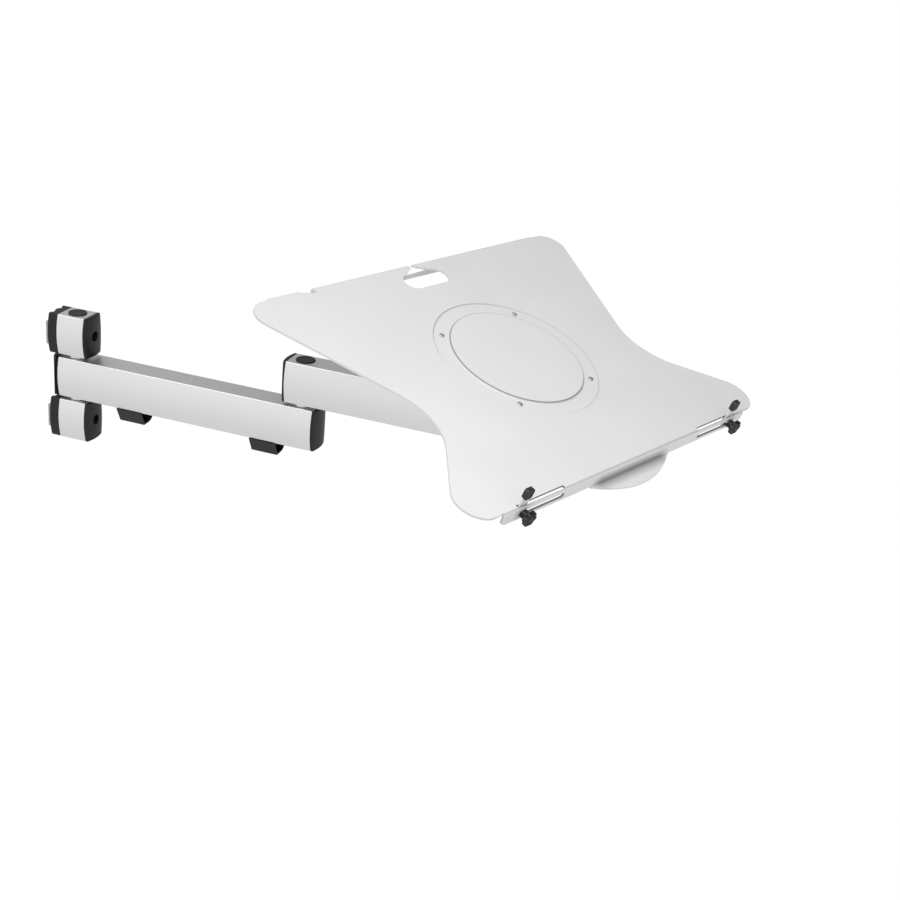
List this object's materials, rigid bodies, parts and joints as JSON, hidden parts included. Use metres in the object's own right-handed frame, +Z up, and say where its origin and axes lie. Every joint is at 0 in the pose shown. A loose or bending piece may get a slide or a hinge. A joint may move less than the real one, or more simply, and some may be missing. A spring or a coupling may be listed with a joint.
{
  "type": "laptop arm mount",
  "caption": "Column-mounted swivel arm with two aluminium links and a tilting sheet-steel laptop tray with sliding front stops.",
  "frame": {"origin": "on the column's face, at the middle of the arms' width and the lower arm's mid height", "axes": "+X from the column along both arms at rest, +Z up, +Y to the left of someone looking along +X"},
  "size_m": [0.6822, 0.4654, 0.2257],
  "materials": {
    "satin_aluminium": "satin anodised, fine speckle",
    "black_plastic": "fine moulded grain",
    "bright_steel": "zinc plated",
    "dark_steel": "blackened",
    "white_powder_coat": "smooth light powder coat",
    "black_rubber": "matt",
    "bronze_bush": "plain sintered"
  },
  "bodies": {
    "column_clamp": {"upper_block": "satin_aluminium", "upper_rear_cap": "black_plastic", "upper_front_cap": "black_plastic", "upper_screw_saddle": "bright_steel", "upper_clamp_screw": "dark_steel", "upper_slot_nut": "bright_steel", "lower_block": "satin_aluminium", "lower_rear_cap": "black_plastic", "lower_front_cap": "black_plastic", "lower_screw_saddle": "bright_steel", "lower_clamp_screw": "dark_steel", "lower_slot_nut": "bright_steel", "shoulder_shaft": "bright_steel", "shoulder_top_cap": "black_plastic", "shoulder_bottom_cap": "black_plastic", "shoulder_upper_washer": "bright_steel", "shoulder_lower_washer": "bright_steel"},
    "lower_arm": {"lower_arm_tube": "satin_aluminium", "shoulder_bush": "bronze_bush", "lower_arm_inner_cap": "black_plastic", "lower_arm_outer_cap": "black_plastic", "cable_clip_1": "black_plastic", "cable_clip_2": "black_plastic", "elbow_shaft": "bright_steel", "elbow_top_cap": "black_plastic", "elbow_bottom_cap": "black_plastic", "elbow_washer": "bright_steel"},
    "upper_arm": {"upper_arm_tube": "satin_aluminium", "elbow_bush": "bronze_bush", "head_bush": "bronze_bush", "upper_arm_inner_cap": "black_plastic", "upper_arm_outer_cap": "black_plastic"},
    "head": {"head_spindle": "bright_steel", "head_bottom_cap": "black_plastic", "head_washer": "bright_steel", "tilt_yoke": "dark_steel", "tilt_bolt": "bright_steel", "tilt_nut": "bright_steel", "left_friction_washer": "dark_steel", "right_friction_washer": "dark_steel"},
    "tray": {"tray_carrier": "dark_steel", "tray_screw_1": "bright_steel", "tray_screw_2": "bright_steel", "tray_screw_3": "bright_steel", "tray_screw_4": "bright_steel", "tray_sheet": "white_powder_coat"},
    "left_stop": {"left_stop_leaf": "white_powder_coat", "left_stop_pad": "black_rubber", "left_stop_bolt": "bright_steel"},
    "left_knob": {"left_stop_knob": "black_plastic"},
    "right_stop": {"right_stop_leaf": "white_powder_coat", "right_stop_pad": "black_rubber", "right_stop_bolt": "bright_steel"},
    "right_knob": {"right_stop_knob": "black_plastic"}
  },
  "joints": [
    {"name": "shoulder_swivel", "type": "hinge", "parent": "column_clamp", "child": "lower_arm", "pos_m": [0.02455, 0, 0], "axis": [0, 0, 1], "range_deg": [-90, 90]},
    {"name": "elbow_swivel", "type": "hinge", "parent": "lower_arm", "child": "upper_arm", "pos_m": [0.27055, 0, 0.0445], "axis": [0, 0, 1], "range_deg": [-170, 170]},
    {"name": "head_swivel", "type": "hinge", "parent": "upper_arm", "child": "head", "pos_m": [0.46755, 0, 0.0665], "axis": [0, 0, 1], "range_deg": [-67.5, 112.5]},
    {"name": "tray_tilt", "type": "hinge", "parent": "head", "child": "tray", "pos_m": [0.46755, 0, 0.08618], "axis": [0.3827, 0.9239, 0], "range_deg": [-20, 10]},
    {"name": "left_stop_slide", "type": "slide", "parent": "tray", "child": "left_stop", "axis": [0.3827, 0.9239, 0], "range_m": [0, 0.045]},
    {"name": "right_stop_slide", "type": "slide", "parent": "tray", "child": "right_stop", "axis": [-0.3827, -0.9239, 0], "range_m": [0, 0.045]},
    {"name": "left_knob_turn", "type": "hinge", "parent": "left_stop", "child": "left_knob", "pos_m": [0.54471, -0.19161, 0.0543], "axis": [0.8682, -0.3596, -0.342], "range_deg": [0, 360]},
    {"name": "right_knob_turn", "type": "hinge", "parent": "right_stop", "child": "right_knob", "pos_m": [0.65913, 0.08463, 0.0543], "axis": [0.8682, -0.3596, -0.342], "range_deg": [0, 360]}
  ]
}
